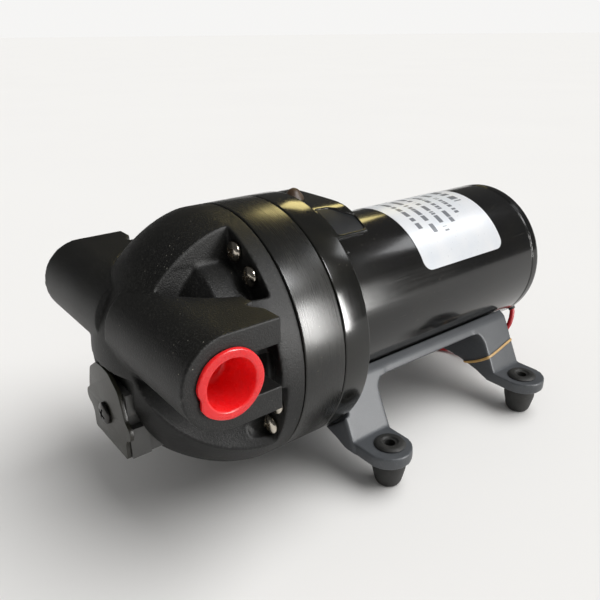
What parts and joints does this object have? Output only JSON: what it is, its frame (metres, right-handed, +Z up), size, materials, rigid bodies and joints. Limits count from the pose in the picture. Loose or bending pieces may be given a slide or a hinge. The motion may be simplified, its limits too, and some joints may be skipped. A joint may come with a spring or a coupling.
{
  "type": "bilge pump",
  "caption": "Electric diaphragm bilge pump: domed black head with side ports and pressure switch, long motor, cast cradle base on rubber grommets, short red lead.",
  "frame": {"origin": "middle of the footprint, on the surface that the rubber feet stand on, measured without the lead", "axes": "+X along the pump's axis from the head to the motor, -Y towards the inlet port, +Z up"},
  "size_m": [0.2422, 0.137, 0.1235],
  "materials": {
    "head_cover": "moulded black nylon, fine texture",
    "ring": "gloss black moulding with fine scratches",
    "motor_paint": "gloss black paint",
    "stainless": "bright stainless steel",
    "bare_steel": "bare zinc-plated steel, dulled",
    "plug_red": "soft red polyethylene",
    "switch_black": "satin black plastic",
    "screw_dark": "black-oxide steel",
    "cast_base": "dark satin paint over a cast surface",
    "rubber": "matte black rubber",
    "label_foil": "silver-white foil label, satin",
    "nylon": "natural nylon",
    "copper": "copper wire and bars",
    "iron": "laminated iron",
    "ferrite": "sintered ferrite and carbon, dull grey",
    "aluminium": "die-cast aluminium",
    "lead_red": "red PVC insulation"
  },
  "bodies": {
    "pump": {"base": "cast_base", "brush_far": "ferrite", "brush_holder": "nylon", "brush_near": "ferrite", "diaphragm": "rubber", "end_bell": "bare_steel", "foot_grommet_1": "rubber", "foot_grommet_2": "rubber", "foot_grommet_3": "rubber", "foot_grommet_4": "rubber", "front_bearing": "stainless", "head_cover": "head_cover", "head_screw_1": "stainless", "head_screw_2": "stainless", "head_screw_3": "stainless", "head_screw_4": "stainless", "head_screw_5": "stainless", "head_screw_6": "stainless", "head_screw_7": "stainless", "head_screw_8": "stainless", "inlet_valve_1": "rubber", "inlet_valve_2": "rubber", "inlet_valve_3": "rubber", "inlet_valve_4": "rubber", "lead_coil": "lead_red", "lead_gland": "rubber", "magnet_far": "ferrite", "magnet_near": "ferrite", "micro_switch": "switch_black", "motor_adaptor": "ring", "motor_can": "motor_paint", "motor_front_plate": "bare_steel", "motor_label": "label_foil", "outlet_valve": "rubber", "pump_housing": "ring", "rear_bearing": "stainless", "red_lead": "lead_red", "switch_body": "switch_black", "switch_cover": "switch_black", "switch_screw": "screw_dark", "switch_spring": "stainless", "through_bolt_lower": "stainless", "through_bolt_upper": "stainless", "valve_plate": "nylon"},
    "rotor": {"motor_shaft": "stainless", "armature_core": "iron", "winding_front": "copper", "winding_rear": "copper", "commutator": "copper", "eccentric": "stainless"},
    "wobble": {"wobble_plate": "aluminium", "wobble_bearing": "stainless", "piston_1": "nylon", "piston_2": "nylon", "piston_3": "nylon", "piston_4": "nylon"},
    "inlet_plug": {"port_plug_near": "plug_red"},
    "outlet_plug": {"port_plug_far": "plug_red"},
    "plunger": {"switch_plunger": "nylon"}
  },
  "joints": [
    {"name": "rotor_spin", "type": "hinge", "parent": "pump", "child": "rotor", "pos_m": [-0.06155, 0, 0.06655], "axis": [1, 0, 0], "continuous": true},
    {"name": "wobble_tilt", "type": "hinge", "parent": "pump", "child": "wobble", "pos_m": [-0.04805, 0, 0.06655], "axis": [0, 1, 0], "range_deg": [-2.5, 2.5], "stiffness_Nm_per_rad": 2},
    {"name": "inlet_plug_pull", "type": "slide", "parent": "pump", "child": "inlet_plug", "axis": [0, -1, 0], "range_m": [0, 0.03]},
    {"name": "outlet_plug_pull", "type": "slide", "parent": "pump", "child": "outlet_plug", "axis": [0, 1, 0], "range_m": [0, 0.03]},
    {"name": "plunger_push", "type": "slide", "parent": "pump", "child": "plunger", "axis": [-1, 0, 0], "range_m": [0, 0.001], "stiffness_N_per_m": 500}
  ]
}
